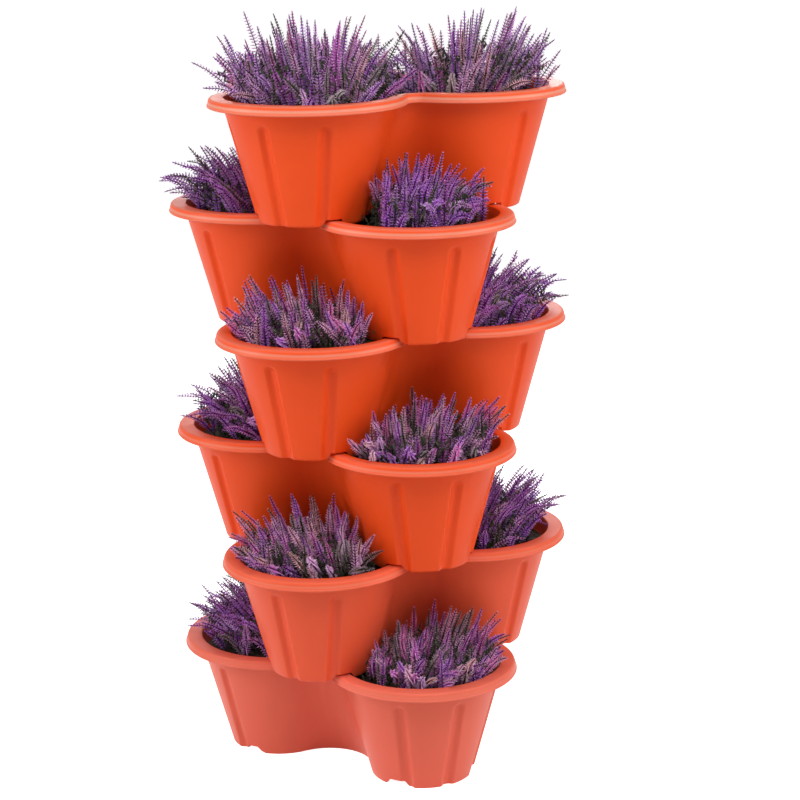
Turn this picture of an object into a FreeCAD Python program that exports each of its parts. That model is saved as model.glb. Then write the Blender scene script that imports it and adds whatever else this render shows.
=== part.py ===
import FreeCAD, Part
import math
import os

# Vertical planter tower: six alike three-lobed pots, stacked with every other one turned
# by half a lobe, each filled with compost and planted with a heather in every lobe.
# Millimetres, +Z up, origin on the tower's axis at the floor. The viewer stands at -Y.

Vector = FreeCAD.Vector
UP = Vector(0, 0, 1)

# The stack
tier_count = 6
lobe_count = 3
pot_height = 125.0
nest_depth = 5.0             # how far a pot's skirt hangs below the rim that it sits on

# The pot's wall: lobes (round bulges) with hollow bays between them, tapered to the base
lobe_reach = 105.5           # tower axis to the middle of a lobe
base_lobe_radius = 54.5      # a lobe's outer face, at the skirt's edge
top_lobe_radius = 88.5       # the same, at the top of the wall
base_bay_radius = 48.5
top_bay_radius = 32.0
wall = 2.0

# The lip round the rim
lip_lobe_reach = 108.0
lip_lobe_radius = 100.8
lip_bay_radius = 11.0
lip_height = 9.5
lip_draft = 2.5              # how much the lip's outer face leans in towards its top

# The floor, raised inside the skirt, with one drain hole in each lobe
floor_thickness = 3.0
drain_radius = 5.0

# Flutes pressed into each lobe, evenly spread about its outward direction
flute_count = 3
flute_spread = 45.0          # outward direction to the outermost flute
flute_mouth = 15.0
flute_back = 9.0
flute_depth = 4.5
flute_below_lip = 11.0
flute_run_out = 9.0          # height over which a flute fades out at its top

# Notches in the skirt, where the rim of the pot below passes through
notch_angle = 58.5           # either side of the lobe's outward direction
notch_width = 23.0
notch_top_width = 19.0
notch_height = 7.0

# Compost
soil_below_rim = 15.0
soil_clearance = 1.0

# Heather: tufts of spikes about a taller middle one, with furrows between them
bush_foot_reach = 108.0      # tower axis to the middle of a bush at its foot
bush_reach = 130.0           # the same, higher up
bush_foot_radius = 62.0
bush_spread_radius = 79.0    # out to the tufts where they lean furthest over the rim
bush_tip_radius = 60.0       # out to the tufts' tips
bush_middle_radius = 20.0
bush_spread_rise = 36.0      # heights over the compost
bush_height = 80.0
top_bush_height = 92.0       # nothing stands over the top pot's bushes
tuft_drop = 12.0             # tufts' tips under the top of the middle one
furrow_depth = 11.0
furrow_drop = 13.0           # furrows under the tufts' tips
tuft_count = 5
bush_clearance = 6.0         # to the wall of the pot above

# How finely the round stretches are divided into flats
side_count = 4               # outermost flute to the end of a lobe
bay_count = 5
lip_lobe_count = 14
lip_bay_count = 3
soil_lobe_count = 8
soil_bay_count = 3
drain_count = 6

# Worked out from these
tier_pitch = pot_height - nest_depth
floor_top = nest_depth + floor_thickness
lip_bottom = pot_height - lip_height
flute_top = lip_bottom - flute_below_lip
soil_top = pot_height - soil_below_rim
half_lobe = 180.0 / lobe_count
MARGIN = 20.0                # how far cutting shapes run past what they cut
STRAIGHT_WITHIN = 0.001


def direction(angle):
    """Unit vector in plan, angle in degrees from +X."""
    return Vector(math.cos(math.radians(angle)), math.sin(math.radians(angle)), 0)


def lobe_angles(turn):
    """Directions of the lobes of a pot that is turned by this angle."""
    return [turn + 2 * half_lobe * i for i in range(lobe_count)]


class Plan:
    """Round lobes and the round bays that touch them, drawn with short flats."""

    def __init__(self, reach, lobe_radius, bay_radius):
        self.reach = reach
        self.lobe_radius = lobe_radius
        self.bay_radius = bay_radius
        across = reach * math.sin(math.radians(half_lobe))
        outward = math.sqrt((lobe_radius + bay_radius) ** 2 - across ** 2)
        self.bay_reach = reach * math.cos(math.radians(half_lobe)) + outward
        self.bay_arc = math.degrees(math.atan2(across, outward))
        self.lobe_arc = self.bay_arc + half_lobe

    def plain(self, count):
        """Corners across a smooth lobe: angle, offset sideways, share of a flute's depth."""
        return [(self.lobe_arc * (2.0 * i / count - 1), 0.0, 0) for i in range(count + 1)]

    def fluted(self, grow):
        """Corners across a lobe with its flutes, each widened by a thickness."""
        step = (self.lobe_arc - flute_spread) / side_count
        sides = [(flute_spread + step * (i + 1), 0.0, 0) for i in range(side_count)]
        corners = [(-angle, 0.0, 0) for angle, _, _ in reversed(sides)]
        pitch = 2 * flute_spread / (flute_count - 1)
        for i in range(flute_count):
            angle = pitch * i - flute_spread
            if i > 0:
                corners.append((angle - pitch / 2, 0.0, 0))
            mouth = flute_mouth / 2 + grow
            back = flute_back / 2 + grow
            corners += [(angle, -mouth, 0), (angle, -back, 1), (angle, back, 1), (angle, mouth, 0)]
        return corners + sides

    def ring(self, corners, count, turn, inset=0.0, depth=0.0):
        """Points once round the plan, drawn in by an inset."""
        points = []
        radius = self.lobe_radius - inset
        for lobe in lobe_angles(turn):
            middle = direction(lobe) * self.reach
            for angle, offset, share in corners:
                out = math.sqrt(radius ** 2 - offset ** 2) - share * depth
                points.append(middle + direction(lobe + angle) * out
                              + direction(lobe + angle + 90) * offset)
            bay = lobe + half_lobe
            middle = direction(bay) * self.bay_reach
            for i in range(1, count):
                angle = self.bay_arc * (1 - 2.0 * i / count)
                points.append(middle - direction(bay + angle) * (self.bay_radius + inset))
        return points


def straight(line):
    """Whether the points of a line up the wall are in one straight row."""
    run = (line[-1] - line[0]).normalize()
    return all((point - line[0]).cross(run).Length < STRAIGHT_WITHIN for point in line)


def flat_face(corners):
    """Flat face with these corners."""
    return Part.Face(Part.makePolygon(corners + corners[:1]))


def solid_through(rings):
    """Solid with level rings of as many points each, joined by flat faces."""
    lines = list(zip(*rings))
    faces = [flat_face(list(ring)) for ring in (rings[0], rings[-1])]
    for left, right in zip(lines, lines[1:] + lines[:1]):
        stretches = [(left, right)]
        if not (straight(left) and straight(right)):
            stretches = [(left[i:i + 2], right[i:i + 2]) for i in range(len(rings) - 1)]
        for one, other in stretches:
            faces.append(flat_face([one[0], *other]))
            faces.append(flat_face([one[0], other[-1], *reversed(one[1:])]))
    solid = Part.Solid(Part.Shell(faces))
    if solid.Volume < 0:
        solid.reverse()
    return solid.removeSplitter()


base_plan = Plan(lobe_reach, base_lobe_radius, base_bay_radius)
top_plan = Plan(lobe_reach, top_lobe_radius, top_bay_radius)
lip_plan = Plan(lip_lobe_reach, lip_lobe_radius, lip_bay_radius)


def raised(points, z):
    """The same points at one height."""
    return [point + UP * z for point in points]


def tapered(z, base, top):
    """Ring of the wall at one height, in line with its rings at the base and at the top."""
    return raised([low + (high - low) * (z / pot_height) for low, high in zip(base, top)], z)


def fluted_ring(z, inset, depth, turn):
    """Ring of the fluted wall at one height."""
    return tapered(z, *[plan.ring(plan.fluted(inset), bay_count, turn, inset, depth)
                        for plan in (base_plan, top_plan)])


def plain_ring(z, inset, turn):
    """Ring that follows the wall at one height and leaves out the flutes."""
    return tapered(z, *[plan.ring(plan.plain(soil_lobe_count), soil_bay_count, turn, inset)
                        for plan in (base_plan, top_plan)])


def wall_block(inset, low, high, turn):
    """The fluted wall as a solid block between two heights, drawn in by an inset."""
    steps = [(low, flute_depth)]
    if high > flute_top:
        steps += [(flute_top - flute_run_out + inset, flute_depth), (flute_top + inset, 0.0)]
        steps.append((high, 0.0))
    else:
        steps.append((high, flute_depth))
    return solid_through([fluted_ring(z, inset, depth, turn) for z, depth in steps])


def lip_block(turn):
    """The overhanging lip as a solid block."""
    corners = lip_plan.plain(lip_lobe_count)
    return solid_through([raised(lip_plan.ring(corners, lip_bay_count, turn, inset), z)
                          for z, inset in [(lip_bottom, 0.0), (pot_height, lip_draft)]])


def notch(lobe, side):
    """One notch through the skirt and its flutes, with leaning ends."""
    angle = lobe + side * notch_angle
    depth = flute_depth + 2 * wall
    out = direction(angle)
    across = direction(angle + 90.0)
    inner = direction(lobe) * lobe_reach + out * (base_lobe_radius - depth)
    slope = (notch_width - notch_top_width) / 2 / notch_height
    foot = notch_width / 2 + slope * MARGIN
    head = notch_top_width / 2
    corners = [inner - across * foot - UP * MARGIN, inner + across * foot - UP * MARGIN,
               inner + across * head + UP * notch_height,
               inner - across * head + UP * notch_height]
    return flat_face(corners).extrude(out * (depth + MARGIN))


def drain(lobe):
    """One drain hole through the floor."""
    middle = direction(lobe) * lobe_reach
    corners = [middle + direction(lobe + 360.0 * i / drain_count) * drain_radius
               for i in range(drain_count)]
    return solid_through([raised(corners, z) for z in (nest_depth - wall, floor_top + wall)])


def pot(turn):
    """Thin-walled moulded pot with its lip, flutes, raised floor and notched skirt."""
    body = wall_block(0.0, 0.0, pot_height, turn).fuse(lip_block(turn))
    cuts = [wall_block(wall, floor_top, pot_height + MARGIN, turn),
            wall_block(wall, -MARGIN, nest_depth, turn)]
    cuts += [notch(lobe, side) for lobe in lobe_angles(turn) for side in (-1, 1)]
    cuts += [drain(lobe) for lobe in lobe_angles(turn)]
    return body.cut(cuts).removeSplitter().Solids[0]


def soil(turn):
    """Compost, from the pot's floor to a finger's width below the rim."""
    inset = wall + flute_depth + soil_clearance
    return solid_through([plain_ring(z, inset, turn) for z in (floor_top, soil_top)])


def bush(lobe, height):
    """One heather: tufts that fan out from its foot over the rim and round up to a dome."""
    foot = direction(lobe) * bush_foot_reach
    middle = direction(lobe) * bush_reach
    tip_rise = height - tuft_drop
    rings = [[], [], [], []]
    for i in range(2 * tuft_count):
        way = direction(lobe + 180.0 * i / tuft_count)
        furrow = i % 2
        inset = furrow * furrow_depth
        rings[0].append(foot + way * bush_foot_radius)
        rings[1].append(middle + way * (bush_spread_radius - inset) + UP * bush_spread_rise)
        rings[2].append(middle + way * (bush_tip_radius - inset)
                        + UP * (tip_rise - furrow * furrow_drop))
        rings[3].append(middle + way * bush_middle_radius + UP * height)
    return solid_through([raised(ring, soil_top) for ring in rings])


def room_for_pot_above(turn):
    """Block round the wall of the pot above, which the heathers grow clear of."""
    block = solid_through([plain_ring(z, -bush_clearance, turn + half_lobe)
                           for z in (-MARGIN, lip_bottom)])
    block.translate(UP * tier_pitch)
    return block


def export(shape, name, tier):
    """Raise a piece to its tier and write it."""
    shape.translate(UP * (tier_pitch * (tier - 1)))
    shape.exportStep("parts/" + name + ".step")
    print(name, shape.ShapeType, "valid", shape.isValid(), "solids", len(shape.Solids),
          "cm3", round(shape.Volume / 1000, 1))


os.makedirs("parts", exist_ok=True)
for tier in range(1, tier_count + 1):
    turn = half_lobe * (tier % 2)
    export(pot(turn), "pot_%d" % tier, tier)
    export(soil(turn), "compost_%d" % tier, tier)
    pot_above = room_for_pot_above(turn)
    for number, lobe in enumerate(lobe_angles(turn), 1):
        if tier < tier_count:
            heather = bush(lobe, bush_height).cut(pot_above).Solids[0]
        else:
            heather = bush(lobe, top_bush_height)
        export(heather, "heather_%d_%d" % (tier, number), tier)
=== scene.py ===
import math
import random

import bmesh
import bpy
import numpy as np
from bpy.props import FloatProperty, FloatVectorProperty, IntProperty, PointerProperty
from bpy.types import Operator, Panel, PropertyGroup
from mathutils import Matrix, Vector, noise
from mathutils.geometry import delaunay_2d_cdt


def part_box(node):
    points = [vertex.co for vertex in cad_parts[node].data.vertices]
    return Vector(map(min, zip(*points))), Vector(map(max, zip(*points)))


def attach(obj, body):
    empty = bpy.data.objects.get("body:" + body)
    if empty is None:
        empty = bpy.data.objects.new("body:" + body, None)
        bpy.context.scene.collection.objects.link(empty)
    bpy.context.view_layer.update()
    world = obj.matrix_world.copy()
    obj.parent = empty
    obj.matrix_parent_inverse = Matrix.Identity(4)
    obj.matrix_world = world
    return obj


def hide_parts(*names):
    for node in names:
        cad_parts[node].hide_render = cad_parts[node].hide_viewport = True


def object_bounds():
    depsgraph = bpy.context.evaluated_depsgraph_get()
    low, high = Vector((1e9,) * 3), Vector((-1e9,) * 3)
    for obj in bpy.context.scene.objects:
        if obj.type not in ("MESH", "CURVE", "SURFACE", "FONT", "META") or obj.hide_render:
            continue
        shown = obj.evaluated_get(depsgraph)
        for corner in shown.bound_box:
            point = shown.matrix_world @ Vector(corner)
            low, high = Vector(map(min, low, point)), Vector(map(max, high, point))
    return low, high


bl_info = {
    "name": "Planter tower",
    "version": (1, 0, 0),
    "blender": (4, 5, 0),
    "location": "View3D > Sidebar > Planter",
    "description": "Stacked three-lobed pots, filled with compost and planted with heather",
    "category": "Object",
}

# The frame: every tier's pot, where it stands and which way its lobes point
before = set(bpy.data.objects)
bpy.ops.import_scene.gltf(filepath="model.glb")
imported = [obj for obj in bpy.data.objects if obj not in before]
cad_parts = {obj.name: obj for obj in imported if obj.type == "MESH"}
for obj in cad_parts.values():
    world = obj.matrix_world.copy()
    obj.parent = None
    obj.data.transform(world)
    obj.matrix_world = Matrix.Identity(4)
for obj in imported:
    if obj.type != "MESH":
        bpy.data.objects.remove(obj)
CAD_BOX = [list(corner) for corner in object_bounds()]
TIERS = sorted(int(node.split("_")[1]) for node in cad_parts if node.startswith("pot_"))
LOBES = sum(node.startswith("heather_1_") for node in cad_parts)
HALF_LOBE = math.pi / LOBES
UP = Vector((0, 0, 1))


def tier_base(tier):
    """Height at which a tier's pot stands."""
    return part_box("pot_%d" % tier)[0].z


def tier_turn(tier):
    """Direction of a tier's first lobe: a lobe that points to -X turns the pot by half."""
    low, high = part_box("pot_%d" % tier)
    return HALF_LOBE if -low.x > high.x else 0.0


POT_LOW, POT_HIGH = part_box("pot_1")
POT_HEIGHT = POT_HIGH.z - POT_LOW.z
PITCH = tier_base(2) - tier_base(1)
SOIL_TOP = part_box("compost_1")[1].z - tier_base(1)
FLOOR_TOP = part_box("compost_1")[0].z - tier_base(1)
SEAT = POT_HEIGHT - PITCH


# Sizes and colours that a user would change

def length(name, description, default):
    """A length, in metres, that a user can change."""
    return FloatProperty(name=name, description=description, default=default, unit="LENGTH")


def colour_of(name, description, default):
    """A colour that a user can change."""
    return FloatVectorProperty(name=name, description=description, default=default,
                               subtype="COLOR", size=3, min=0, max=1)


class PotSettings(PropertyGroup):
    """The moulded pot."""
    lobe_reach: length("Lobe reach", "Tower axis to the middle of a lobe", 0.1055)
    base_radius: length("Base radius", "A lobe's outer face at the skirt's edge", 0.0545)
    top_radius: length("Top radius", "A lobe's outer face at the top of the wall", 0.0885)
    bay_radius: length("Base bay radius", "The hollow between two lobes, at the base", 0.0485)
    top_bay_radius: length("Top bay radius", "The hollow between two lobes, at the top", 0.032)
    wall: length("Wall", "Thickness of the wall", 0.002)
    lip_reach: length("Lip reach", "Tower axis to the middle of the lip's lobe", 0.108)
    lip_radius: length("Lip radius", "The lip's outer face at its lower edge", 0.1008)
    lip_bay_radius: length("Lip bay radius", "The lip's hollow between two lobes", 0.011)
    lip_height: length("Lip height", "Height of the lip's outer face", 0.0095)
    lip_draft: length("Lip draft", "How much the lip leans in towards its top", 0.0025)
    lip_roll: length("Lip roll", "Rounding of the lip's upper outer edge", 0.0028)
    bead: length("Bead", "Radius of the bead along the lip's lower edge", 0.0013)
    flute_count: IntProperty(
        name="Flutes", description="Flutes on each lobe", default=3, min=2)
    flute_spread: FloatProperty(
        name="Flute spread", description="Outward direction to the outermost flute",
        default=math.radians(45), subtype="ANGLE")
    flute_mouth: length("Flute width", "Width of a flute at the wall's face", 0.0155)
    flute_depth: length("Flute depth", "How deep a flute is pressed in", 0.0042)
    flute_flank: length("Flute flank", "Width over which a flute's side runs in", 0.0064)
    flute_below_lip: length("Flute top", "Lip's lower edge to the top of a flute", 0.011)
    notch_angle: FloatProperty(
        name="Notch angle", description="Outward direction to the middle of a notch",
        default=math.radians(58.5), subtype="ANGLE")
    notch_width: length("Notch width", "Width of a notch in the skirt", 0.021)
    notch_height: length("Notch height", "Height of a notch in the skirt", 0.007)
    notch_depth: length("Notch depth", "How far a notch runs in behind the skirt", 0.0065)
    drain_radius: length("Drain radius", "Drain hole in the floor of each lobe", 0.005)
    colour: colour_of(
        "Plastic", "Terracotta-orange plastic of the upper pots", (0.80, 0.072, 0.008))
    # Paler colour that paints the light thrown up by the floor onto the lowest pots.
    floor_lit_colour: colour_of(
        "Lowest plastic", "Paler plastic of the lowest pot", (0.76, 0.135, 0.080))
    # Paler colour for the painted highlight along the lip's face and edges, strongest on the
    # upper tiers.
    lip_highlight_colour: colour_of(
        "Lip", "The same plastic where the lip's edges are worn pale", (0.71, 0.330, 0.230))
    roughness: FloatProperty(
        name="Roughness", description="Sheen of the plastic", default=0.45, min=0, max=1)


class CompostSettings(PropertyGroup):
    """The compost in the pots."""
    clearance: length("Clearance", "Gap to the pot's wall", 0.0008)
    spacing: length("Spacing", "Distance between the points of the surface", 0.0045)
    bumps: length("Bumps", "Height of the surface's bumps", 0.003)
    crumbs: IntProperty(
        name="Crumbs", description="Loose crumbs on one pot's compost", default=300)
    crumb_size: length("Crumb size", "Size of the largest crumbs", 0.0035)
    colour: colour_of("Compost", "Moist dark compost", (0.030, 0.020, 0.014))


class HeatherSettings(PropertyGroup):
    """The heather bushes."""
    foot_reach: length("Foot reach", "Tower axis to the middle of a bush's foot", 0.108)
    reach: length("Reach", "Tower axis to the middle of a bush higher up", 0.130)
    foot: length("Foot", "Radius of the patch that a bush grows from", 0.072)
    spread: length("Spread", "Radius of a bush at its widest", 0.080)
    furrow: length("Furrow", "Depth of the furrows between a bush's tufts", 0.008)
    spread_rise: length("Spread rise", "Compost to where a bush is widest", 0.026)
    height: length("Height", "Height of a bush over the compost", 0.084)
    top_height: length("Top height", "The same, on the top tier", 0.097)
    spikes: IntProperty(name="Spikes", description="Flower spikes of one bush", default=142)
    whorl_pitch: length("Whorl pitch", "Distance between two rings of florets on a stem", 0.0030)
    floret_length: length("Floret length", "Length of the largest florets", 0.0064)
    leaves: IntProperty(name="Leaves", description="Dark leaves deep inside one bush",
                        default=1000)
    leaf_length: length("Leaf length", "Length of those leaves", 0.009)
    stem_radius: length("Stem radius", "Radius of a stem", 0.0006)
    clearance: length("Clearance", "Room between the stems and the pots' walls", 0.0035)


class StageSettings(PropertyGroup):
    """Floor, lamps and camera."""
    floor_colour: colour_of("Floor", "Pale studio floor", (0.85, 0.85, 0.85))
    floor_glow: FloatProperty(
        name="Floor glow", description="What the camera sees on top of the lit floor",
        default=0.97, min=0)
    world_strength: FloatProperty(
        name="Surround", description="Strength of the light from all round", default=0.05)
    lamp_power: FloatProperty(
        name="Lamps", description="Power of a full lamp", default=22.0, unit="POWER")
    lamp_distance: length("Lamp distance", "Middle of the tower to a lamp", 1.9)
    lamp_size: length("Lamp size", "Side of a lamp's square face", 0.8)


# The pot's outline: round lobes, and round bays that touch them

class Plan:
    """Round lobes joined by round bays."""

    def __init__(self, reach, lobe_radius, bay_radius):
        self.reach = reach
        self.lobe_radius = lobe_radius
        self.bay_radius = bay_radius
        across = reach * math.sin(HALF_LOBE)
        outward = math.sqrt((lobe_radius + bay_radius) ** 2 - across ** 2)
        self.bay_reach = reach * math.cos(HALF_LOBE) + outward
        self.bay_arc = math.atan2(across, outward)
        self.lobe_arc = self.bay_arc + HALF_LOBE

    def outside(self, x, y, room):
        """Whether a point is that far outside; with less than 0 it may lie a little inside."""
        for lobe in range(LOBES):
            angle = 2 * HALF_LOBE * lobe
            away = math.hypot(x - self.reach * math.cos(angle), y - self.reach * math.sin(angle))
            if away < self.lobe_radius + room:
                return False
        turns = (math.atan2(y, x) - HALF_LOBE) / (2 * HALF_LOBE)
        bay = HALF_LOBE + 2 * HALF_LOBE * round(turns)
        along = x * math.cos(bay) + y * math.sin(bay)
        aside = y * math.cos(bay) - x * math.sin(bay)
        if along > self.bay_reach - self.bay_radius * math.cos(self.bay_arc) + room:
            return True
        return math.hypot(along - self.bay_reach, aside) < self.bay_radius - room


def wall_radius(pot, z):
    """Radius of a lobe's outer face at one height."""
    return pot.base_radius + (pot.top_radius - pot.base_radius) * z / POT_HEIGHT


def wall_plan(pot, z):
    """Plan of the wall's outer face at one height."""
    share = z / POT_HEIGHT
    return Plan(pot.lobe_reach, wall_radius(pot, z),
                pot.bay_radius + (pot.top_bay_radius - pot.bay_radius) * share)


def smooth(value):
    """Smooth step from 0 to 1."""
    t = np.clip(value, 0.0, 1.0)
    return t * t * (3 - 2 * t)


FLUTE_STATIONS = 15      # across each flute
SIDE_STATIONS = 17       # outermost flute to the end of a lobe
BETWEEN_STATIONS = 8     # between two flutes
BAY_STATIONS = 16
FLUTE_HALF = 0.56        # half of what a flute's stations cover, over the flute's width
NOTCH_SLOPE = 0.24       # width of a notch's slanting end, over the notch's width


class Stations:
    """Where the pot's upright grid lines stand, once round the outline."""

    def __init__(self, pot):
        self.pot = pot
        spread = pot.flute_spread
        pitch = 2 * spread / (pot.flute_count - 1)
        sides = [(i + 1) / SIDE_STATIONS for i in range(SIDE_STATIONS)]
        # angle, shares of a flute's half width and of the lobe's arc, place across a flute,
        # and whether the station is in a flute and in a bay
        rows = [(-spread * (1 - p), -(1 - p), -p, 0, 0, 0) for p in reversed(sides)]
        for flute in range(pot.flute_count):
            angle = pitch * flute - spread
            if flute > 0:
                for i in range(BETWEEN_STATIONS):
                    p = (i + 1) / (BETWEEN_STATIONS + 1)
                    rows.append((angle - pitch * (1 - p), 1 - 2 * p, 0, 0, 0, 0))
            for i in range(FLUTE_STATIONS):
                rows.append((angle, 0, 0, 2 * i / (FLUTE_STATIONS - 1) - 1, 1, 0))
        rows += [(spread * (1 - p), 1 - p, p, 0, 0, 0) for p in sides]
        for i in range(1, BAY_STATIONS):
            rows.append((1 - 2 * i / BAY_STATIONS, 0, 0, 0, 0, 1))
        grid = np.array(rows * LOBES, float)
        self.angle, self.edge, self.end, self.across, fluted, bay = grid.T
        self.fluted = fluted > 0.5
        self.bay = bay > 0.5
        self.turn = np.repeat(2 * HALF_LOBE * np.arange(LOBES), len(rows))

    def half_flute(self, inset):
        """Half of the width that a flute's stations cover."""
        return self.pot.flute_mouth * FLUTE_HALF + inset

    def bearing(self, plan, inset):
        """Angle of every station from its lobe's outward direction."""
        radius = plan.lobe_radius - inset
        half = self.half_flute(inset)
        return (self.angle + self.edge * math.asin(half / radius) + self.end * plan.lobe_arc
                + np.arcsin(self.across * half / radius))

    def pressed(self, z, inset):
        """How deep the wall is pressed in by the flutes, at one height."""
        pot = self.pot
        mouth = pot.flute_mouth / 2 + inset
        arch = POT_HEIGHT - pot.lip_height - pot.flute_below_lip + inset - mouth
        across = self.across * self.half_flute(inset)
        inside = mouth - np.hypot(across, max(0.0, z - arch))
        return np.where(self.fluted, pot.flute_depth * smooth(inside / pot.flute_flank), 0.0)

    def notch(self):
        """How far the skirt is cut away at every station, from 0 to 1."""
        pot = self.pot
        bearing = np.abs(self.bearing(wall_plan(pot, 0.0), 0.0))
        away = np.abs(bearing - pot.notch_angle) * pot.base_radius
        slope = pot.notch_width * NOTCH_SLOPE
        return np.where(self.bay, 0.0, smooth((pot.notch_width / 2 + slope / 2 - away) / slope))

    def ring(self, plan, inset=0.0, pressed=0.0):
        """Points once round a plan, drawn in by an inset."""
        middle = np.mean(inset)
        offset = self.across * self.half_flute(middle)
        radius = plan.lobe_radius - inset
        out = np.sqrt(radius ** 2 - offset ** 2) - pressed
        flat = self.bearing(plan, middle) - np.arcsin(offset / (plan.lobe_radius - middle))
        way = self.turn + flat
        lobe_x = plan.reach * np.cos(self.turn) + out * np.cos(way) - offset * np.sin(way)
        lobe_y = plan.reach * np.sin(self.turn) + out * np.sin(way) + offset * np.cos(way)
        bay = self.turn + HALF_LOBE
        swing = bay + plan.bay_arc * self.angle
        hollow = plan.bay_radius + inset
        bay_x = plan.bay_reach * np.cos(bay) - hollow * np.cos(swing)
        bay_y = plan.bay_reach * np.sin(bay) - hollow * np.sin(swing)
        return np.column_stack([np.where(self.bay, bay_x, lobe_x),
                                np.where(self.bay, bay_y, lobe_y)])

    def wall_ring(self, z, inset=0.0, fluted=True):
        """Ring of the tapering wall; the height may differ along it."""
        level = float(np.min(z))
        pressed = self.pressed(level, np.mean(inset)) if fluted else 0.0
        low = self.ring(wall_plan(self.pot, 0.0), inset, pressed)
        high = self.ring(wall_plan(self.pot, POT_HEIGHT), inset, pressed)
        height = np.broadcast_to(np.asarray(z, float), self.angle.shape)
        share = (height / POT_HEIGHT)[:, None]
        return np.column_stack([low + (high - low) * share, height])


# The pot

ROUND_STEPS = 6                  # along the lip's bead and along its roll
BEAD_ARC, ROLL_ARC = (270, 120), (170, 90)       # first and last point, in degrees
ROLL_IN = 0.75                   # how far in the roll's middle lies, over the roll
BEAD_HIGHLIGHT, ROLL_HIGHLIGHT = 0.35, 0.55        # how far the edges take the paler colour of the painted highlight
FACE_HIGHLIGHT = ((0.12, 0.30), (0.35, 0.80), (0.6, 0.70), (0.85, 0.15))      # painted highlight across the lip's face, by height
INNER_EDGE, INNER_STEPS = 0.0012, 4      # rounding of the rim's inner edge
SKIRT_EDGE = 0.0005              # rounding of the skirt's lower edge
NOTCH_TOP = 0.012                # up to here the notches bend the wall's rings
LOW_LEVELS = [SKIRT_EDGE, 0.003, 0.006, 0.009, NOTCH_TOP, 0.03, 0.05, 0.07, 0.085]
ARCH_LEVELS, ABOVE_ARCH = 14, 0.0015     # rings across the flutes' arched tops
DRAIN_SIDES = 20


def arc(middle, radius, degrees, steps):
    """Points (inset, height) on a round of the lip's section."""
    start, end = (math.radians(angle) for angle in degrees)
    return [(middle[0] + radius * math.cos(start + (end - start) * i / steps),
             middle[1] + radius * math.sin(start + (end - start) * i / steps))
            for i in range(steps + 1)]


def lip_section(pot):
    """The lip's section from its underside up: inset, height and how much painted highlight it
    has.
    """
    bottom = POT_HEIGHT - pot.lip_height
    bead = arc((pot.bead, bottom + pot.bead), pot.bead, BEAD_ARC, ROUND_STEPS)
    roll_middle = (pot.lip_draft + pot.lip_roll * ROLL_IN, POT_HEIGHT - pot.lip_roll)
    roll = arc(roll_middle, pot.lip_roll, ROLL_ARC, ROUND_STEPS)
    low, high = np.array(bead[-1]), np.array(roll[0])
    face = [(*(low + (high - low) * share), highlight) for share, highlight in FACE_HIGHLIGHT]
    return ([(*point, BEAD_HIGHLIGHT) for point in bead] + face
            + [(*point, ROLL_HIGHLIGHT * i / ROUND_STEPS) for i, point in enumerate(roll)])


def wall_levels(pot):
    """Heights of the wall's rings: close together where the flutes end."""
    flute_top = POT_HEIGHT - pot.lip_height - pot.flute_below_lip
    arch = flute_top - pot.flute_mouth / 2 - pot.flute_flank / 2
    return LOW_LEVELS + list(np.linspace(arch, flute_top + ABOVE_ARCH, ARCH_LEVELS)) + [
        POT_HEIGHT - pot.lip_height]


def pot_rings(pot, stations):
    """A pot's grid from the floor's underside round to its top, and how much painted highlight
    each ring has.
    """
    cut = stations.notch()
    levels = wall_levels(pot)
    lift = pot.notch_height * cut
    inner = pot.wall + pot.notch_depth * cut
    rings = [stations.wall_ring(np.full(len(cut), SEAT), inner),
             stations.wall_ring(lift, inner),
             stations.wall_ring(lift, SKIRT_EDGE)]
    rings += [stations.wall_ring(z + lift * max(0.0, 1 - z / NOTCH_TOP)) for z in levels]
    painted_highlight = [0.0] * len(rings)
    lip_plan = Plan(pot.lip_reach, pot.lip_radius, pot.lip_bay_radius)
    for inset, z, highlight in lip_section(pot):
        ring = stations.ring(lip_plan, inset)
        rings.append(np.column_stack([ring, np.full(len(ring), z)]))
        painted_highlight.append(highlight)
    for inset, z in arc((INNER_EDGE, POT_HEIGHT - INNER_EDGE), INNER_EDGE, (90, 0),
                        INNER_STEPS):
        rings.append(stations.wall_ring(z, pot.wall - INNER_EDGE + inset))
    rings += [stations.wall_ring(z, pot.wall) for z in reversed(levels) if z > FLOOR_TOP]
    rings.append(stations.wall_ring(FLOOR_TOP, pot.wall))
    return rings, painted_highlight + [0.0] * (len(rings) - len(painted_highlight))


def band(bm, low, high):
    """Quads between two closed rows of vertices."""
    for i in range(len(low)):
        j = (i + 1) % len(low)
        bm.faces.new((low[i], low[j], high[j], high[i]))


def loop_edges(bm, verts):
    """Edges once round a closed row of vertices, made where they are missing."""
    return [bm.edges.get(pair) or bm.edges.new(pair)
            for pair in zip(verts, verts[1:] + verts[:1])]


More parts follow.
